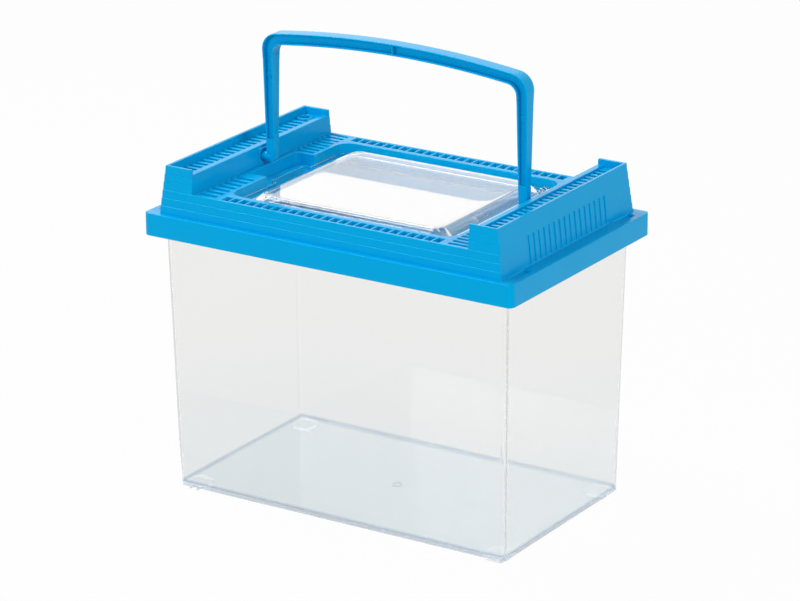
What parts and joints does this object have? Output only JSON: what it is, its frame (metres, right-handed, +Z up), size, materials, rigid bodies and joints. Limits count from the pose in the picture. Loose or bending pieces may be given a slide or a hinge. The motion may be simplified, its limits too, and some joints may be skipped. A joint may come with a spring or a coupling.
{
  "type": "plastic pet keeper",
  "caption": "Clear plastic carrying tank for small pets, with a slotted push-fit lid, a clear feeding hatch and a folding carry handle.",
  "frame": {"origin": "middle of the rectangle under the object, on the surface that its feet stand on", "axes": "+Z up, +X along the length towards the hatch's hinge, +Y towards the back, with the handle upright"},
  "size_m": [0.23, 0.143, 0.2541],
  "materials": {
    "clear_plastic": "clear moulded polystyrene, glossy, with a faint blue-grey tint at its edges",
    "blue_plastic": "sky-blue moulded polypropylene, satin gloss"
  },
  "bodies": {
    "tank_body": {"tank": "clear_plastic"},
    "lid_body": {"lid": "blue_plastic"},
    "hatch_body": {"hatch": "clear_plastic"},
    "handle_body": {"handle": "blue_plastic"}
  },
  "joints": [
    {"name": "lid_lift", "type": "slide", "parent": "tank_body", "child": "lid_body", "axis": [0, 0, 1], "range_m": [0, 0.06]},
    {"name": "hatch_hinge", "type": "hinge", "parent": "lid_body", "child": "hatch_body", "pos_m": [0.0605, 0, 0.16825], "axis": [0, 1, 0], "range_deg": [0, 28]},
    {"name": "handle_swing", "type": "hinge", "parent": "lid_body", "child": "handle_body", "pos_m": [0, 0, 0.1785], "axis": [1, 0, 0], "range_deg": [-90, 90]}
  ]
}
